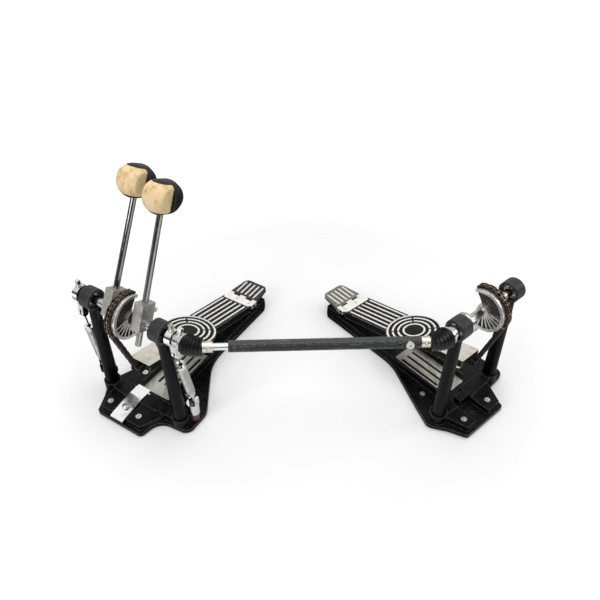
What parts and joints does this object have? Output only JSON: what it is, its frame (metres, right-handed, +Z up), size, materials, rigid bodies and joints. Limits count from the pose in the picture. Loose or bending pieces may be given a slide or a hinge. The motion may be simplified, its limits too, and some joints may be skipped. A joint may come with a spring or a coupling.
{
  "type": "double bass drum pedal",
  "caption": "Double bass drum pedal: main pedal with two beaters, remote pedal and a telescoping drive shaft with two universal joints.",
  "frame": {"origin": "on the floor under the middle of the main pedal's axle", "axes": "+X along the drive shaft from the main pedal to the slave pedal, +Y towards the heels, +Z up"},
  "size_m": [0.6132, 0.321, 0.3596],
  "materials": {
    "black_casting": "satin black powder coat, worn at the edges",
    "grey_housing": "matt dark grey",
    "floor_steel": "brushed",
    "mat_rubber": "matt",
    "tread_alloy": "black recesses, polished raised lines",
    "heel_alloy": "worn, polished lines",
    "bright_chrome": "polished",
    "rod_steel": "polished",
    "holder_zinc": "cast, satin",
    "wheel_alloy": "cast, rim polished",
    "chain_steel": "oiled brown-black",
    "beater_wood": "light close-grained maple",
    "beater_rubber": "satin black",
    "spring_chrome": "polished",
    "boot_rubber": "satin black, ribbed",
    "collar_gold": "pale passivated",
    "tube_paint": "satin dark grey, scratched"
  },
  "bodies": {
    "main_frame": {"main_floor_mat": "mat_rubber", "main_base_casting": "black_casting", "main_base_screws": "bright_chrome", "main_floor_plate": "floor_steel", "main_posts": "black_casting", "main_bearing_units": "grey_housing", "main_heel_plate": "heel_alloy", "main_spring_bracket": "black_casting", "second_spring_stand": "bright_chrome", "main_joint_boot": "boot_rubber"},
    "main_axle": {"main_axle": "rod_steel", "main_beater_holder": "holder_zinc", "main_key_bolts": "bright_chrome", "main_spring_rocker": "bright_chrome", "main_chain_wheel": "wheel_alloy", "main_chain_wrap": "chain_steel"},
    "main_beater": {"main_beater_rod": "rod_steel", "main_beater_wood": "beater_wood", "main_beater_rubber": "beater_rubber"},
    "main_footboard": {"main_footboard": "tread_alloy", "main_board_fittings": "black_casting"},
    "main_chain_span": {"main_chain_span": "chain_steel"},
    "main_spring": {"main_spring_coil": "spring_chrome", "main_spring_ends": "spring_chrome"},
    "main_hook": {"main_spring_hook": "spring_chrome"},
    "second_axle": {"second_axle": "rod_steel", "second_beater_holder": "holder_zinc", "second_key_bolts": "bright_chrome", "second_spring_rocker": "bright_chrome", "main_axle_yoke": "bright_chrome"},
    "second_beater": {"second_beater_rod": "rod_steel", "second_beater_wood": "beater_wood", "second_beater_rubber": "beater_rubber"},
    "second_spring": {"second_spring_coil": "spring_chrome", "second_spring_ends": "spring_chrome"},
    "second_hook": {"second_spring_hook": "spring_chrome"},
    "main_cross": {"main_joint_cross": "rod_steel"},
    "shaft_inner": {"shaft_inner_rod": "rod_steel", "shaft_inner_collar": "collar_gold"},
    "slave_frame": {"slave_floor_mat": "mat_rubber", "slave_base_casting": "black_casting", "slave_base_screws": "bright_chrome", "slave_floor_plate": "floor_steel", "slave_posts": "black_casting", "slave_bearing_units": "grey_housing", "slave_heel_plate": "heel_alloy", "slave_joint_boot": "boot_rubber"},
    "slave_axle": {"slave_axle": "rod_steel", "slave_axle_yoke": "bright_chrome", "slave_chain_wheel": "wheel_alloy", "slave_chain_wrap": "chain_steel"},
    "slave_footboard": {"slave_footboard": "tread_alloy", "slave_board_fittings": "black_casting"},
    "slave_chain_span": {"slave_chain_span": "chain_steel"},
    "shaft_outer": {"shaft_tube": "tube_paint", "shaft_outer_collar": "collar_gold", "shaft_lock_bolt": "bright_chrome"},
    "slave_cross": {"slave_joint_cross": "rod_steel"},
    "hoop_jaw": {"hoop_jaw": "bright_chrome"},
    "hoop_screw": {"hoop_clamp_screw": "bright_chrome"}
  },
  "joints": [
    {"name": "main_axle_swing", "type": "hinge", "parent": "main_frame", "child": "main_axle", "pos_m": [0, 0, 0.1865], "axis": [0.8298, -0.558, 0], "range_deg": [-12, 45], "stiffness_Nm_per_rad": 4},
    {"name": "main_beater_height", "type": "slide", "parent": "main_axle", "child": "main_beater", "axis": [0.2705, 0.4023, 0.8746], "range_m": [-0.02, 0.012]},
    {"name": "main_footboard_pitch", "type": "hinge", "parent": "main_frame", "child": "main_footboard", "pos_m": [0.13225, 0.19667, 0.033], "axis": [0.8298, -0.558, 0], "range_deg": [-2.5, 8]},
    {"name": "main_chain_swing", "type": "hinge", "parent": "main_footboard", "child": "main_chain_span", "pos_m": [0.00012, -0.0034, 0.08818], "axis": [0.8298, -0.558, 0], "range_deg": [-18, 8]},
    {"name": "slave_footboard_pitch", "type": "hinge", "parent": "slave_frame", "child": "slave_footboard", "pos_m": [0.31907, 0.17935, 0.033], "axis": [0.7753, 0.6316, 0], "range_deg": [-2.5, 8]},
    {"name": "slave_chain_swing", "type": "hinge", "parent": "slave_footboard", "child": "slave_chain_span", "pos_m": [0.47206, -0.00527, 0.08818], "axis": [0.7753, 0.6316, 0], "range_deg": [-18, 8]},
    {"name": "main_spring_sway", "type": "hinge", "parent": "main_frame", "child": "main_spring", "pos_m": [-0.0636, 0.04879, 0.044], "axis": [0.8298, -0.558, 0], "range_deg": [-16, 6]},
    {"name": "main_hook_swing", "type": "hinge", "parent": "main_axle", "child": "main_hook", "pos_m": [-0.06887, 0.04095, 0.15481], "axis": [0.8298, -0.558, 0], "range_deg": [-60, 18]},
    {"name": "second_axle_swing", "type": "hinge", "parent": "main_frame", "child": "second_axle", "pos_m": [0, 0, 0.1865], "axis": [0.8298, -0.558, 0], "range_deg": [-14, 50]},
    {"name": "second_beater_height", "type": "slide", "parent": "second_axle", "child": "second_beater", "axis": [0.2429, 0.3612, 0.9003], "range_m": [-0.02, 0.012]},
    {"name": "second_spring_sway", "type": "hinge", "parent": "main_frame", "child": "second_spring", "pos_m": [0.07615, -0.03012, 0.05], "axis": [0.8298, -0.558, 0], "range_deg": [-16, 6]},
    {"name": "second_hook_swing", "type": "hinge", "parent": "second_axle", "child": "second_hook", "pos_m": [0.06732, -0.04325, 0.15454], "axis": [0.8298, -0.558, 0], "range_deg": [-66, 18]},
    {"name": "main_cross_tilt", "type": "hinge", "parent": "second_axle", "child": "main_cross", "pos_m": [0.09294, -0.0625, 0.1865], "axis": [0.5351, 0.7956, -0.284], "range_deg": [-12, 36]},
    {"name": "shaft_inner_spin", "type": "hinge", "parent": "main_frame", "child": "shaft_inner", "pos_m": [0.09294, -0.0625, 0.1865], "axis": [1, 0, 0], "range_deg": [-20, 62]},
    {"name": "shaft_stretch", "type": "slide", "parent": "main_frame", "child": "slave_frame", "axis": [1, 0, 0], "range_m": [-0.015, 0.06]},
    {"name": "slave_axle_swing", "type": "hinge", "parent": "slave_frame", "child": "slave_axle", "pos_m": [0.46876, -0.00439, 0.1865], "axis": [0.7753, 0.6316, 0], "range_deg": [-12, 45], "stiffness_Nm_per_rad": 4},
    {"name": "shaft_outer_spin", "type": "hinge", "parent": "slave_frame", "child": "shaft_outer", "pos_m": [0.39744, -0.0625, 0.1865], "axis": [1, 0, 0], "range_deg": [-20, 62]},
    {"name": "slave_cross_tilt", "type": "hinge", "parent": "slave_axle", "child": "slave_cross", "pos_m": [0.39744, -0.0625, 0.1865], "axis": [-0.6056, 0.7433, -0.284], "range_deg": [-40, 14]},
    {"name": "clamp_screw_rise", "type": "slide", "parent": "main_frame", "child": "hoop_screw", "axis": [0, 0, 1], "range_m": [0, 0.005]},
    {"name": "hoop_jaw_tilt", "type": "hinge", "parent": "main_frame", "child": "hoop_jaw", "pos_m": [-0.00577, 0.01472, 0.019], "axis": [0.8298, -0.558, 0], "range_deg": [-8.5, 0.2]}
  ],
  "couplings": [
    {"joint": "main_footboard_pitch", "follows": "main_axle_swing", "ratio": 0.1279},
    {"joint": "main_chain_swing", "follows": "main_axle_swing", "ratio": -0.382},
    {"joint": "slave_footboard_pitch", "follows": "slave_axle_swing", "ratio": 0.1279},
    {"joint": "slave_chain_swing", "follows": "slave_axle_swing", "ratio": -0.382},
    {"joint": "main_spring_sway", "follows": "main_axle_swing", "ratio": -0.27},
    {"joint": "main_hook_swing", "follows": "main_axle_swing", "ratio": -1.27},
    {"joint": "second_axle_swing", "follows": "slave_axle_swing", "ratio": 1.064},
    {"joint": "second_spring_sway", "follows": "slave_axle_swing", "ratio": -0.2894},
    {"joint": "second_hook_swing", "follows": "slave_axle_swing", "ratio": -1.3534},
    {"joint": "main_cross_tilt", "follows": "slave_axle_swing", "ratio": 0.68},
    {"joint": "shaft_inner_spin", "follows": "slave_axle_swing", "ratio": 1.24},
    {"joint": "shaft_outer_spin", "follows": "slave_axle_swing", "ratio": 1.24},
    {"joint": "slave_cross_tilt", "follows": "slave_axle_swing", "ratio": -0.775},
    {"joint": "hoop_jaw_tilt", "follows": "clamp_screw_rise", "rad_per_m": -27.778}
  ]
}
